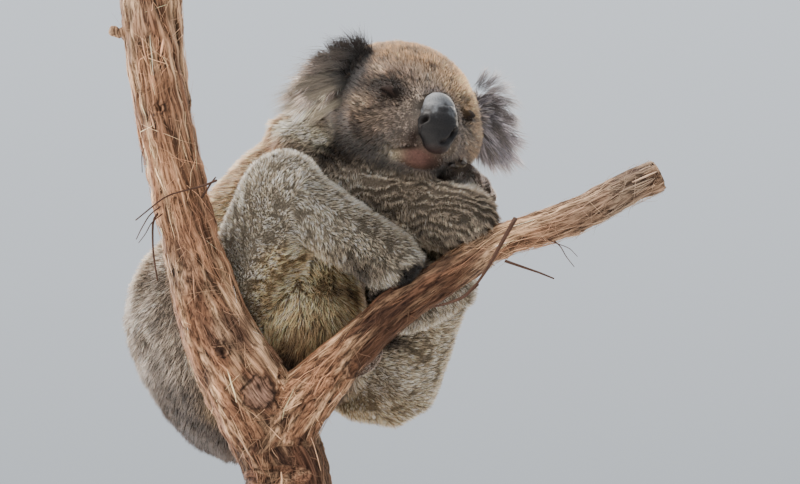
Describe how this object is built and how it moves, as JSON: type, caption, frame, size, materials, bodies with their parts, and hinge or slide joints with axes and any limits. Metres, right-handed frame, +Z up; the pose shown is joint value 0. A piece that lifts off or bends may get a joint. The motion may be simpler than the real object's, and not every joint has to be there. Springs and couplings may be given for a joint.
{
  "type": "koala",
  "caption": "Life-size koala asleep in a tree fork, folded over its arms and knees, with the cut fork as its perch on a plain display stand.",
  "frame": {"origin": "centre of the stand base's underside, on the floor", "axes": "+Z up; the koala's right side faces -Y, its back -X, and the perch's long limb points along +X"},
  "size_m": [0.5742, 0.3942, 0.6942],
  "materials": {
    "brown_fur": "dense woolly grey-brown fur",
    "pale_fur": "dense woolly light grey fur with dark flecks",
    "ear_fur": "long dark grey fringe with pale hairs",
    "paw_fur": "short dark grey fur",
    "nose_skin": "bare leathery skin, pebbled",
    "claw_horn": "dark polished horn",
    "bark": "rough stringy bark with sawn ends",
    "stand_oak": "waxed oak",
    "stand_steel": "brushed"
  },
  "bodies": {
    "root": {"head": "brown_fur", "left_ear": "ear_fur", "left_eyelids": "brown_fur", "left_foot": "paw_fur", "left_foot_claw_1": "claw_horn", "left_foot_claw_2": "claw_horn", "left_foot_claw_3": "claw_horn", "left_foot_claw_4": "claw_horn", "left_forearm": "brown_fur", "left_hand": "paw_fur", "left_hand_claw_1": "claw_horn", "left_hand_claw_2": "claw_horn", "left_hand_claw_3": "claw_horn", "left_hand_claw_4": "claw_horn", "left_hand_claw_5": "claw_horn", "left_shin": "pale_fur", "left_thigh": "pale_fur", "left_upper_arm": "brown_fur", "neck": "brown_fur", "nose": "nose_skin", "perch": "bark", "right_ear": "ear_fur", "right_eyelids": "brown_fur", "right_foot": "paw_fur", "right_foot_claw_1": "claw_horn", "right_foot_claw_2": "claw_horn", "right_foot_claw_3": "claw_horn", "right_foot_claw_4": "claw_horn", "right_forearm": "brown_fur", "right_hand": "paw_fur", "right_hand_claw_1": "claw_horn", "right_hand_claw_2": "claw_horn", "right_hand_claw_3": "claw_horn", "right_hand_claw_4": "claw_horn", "right_hand_claw_5": "claw_horn", "right_shin": "pale_fur", "right_thigh": "pale_fur", "right_upper_arm": "brown_fur", "stand_base": "stand_oak", "stand_rod_1": "stand_steel", "stand_rod_2": "stand_steel", "trunk": "brown_fur"}
  },
  "joints": []
}
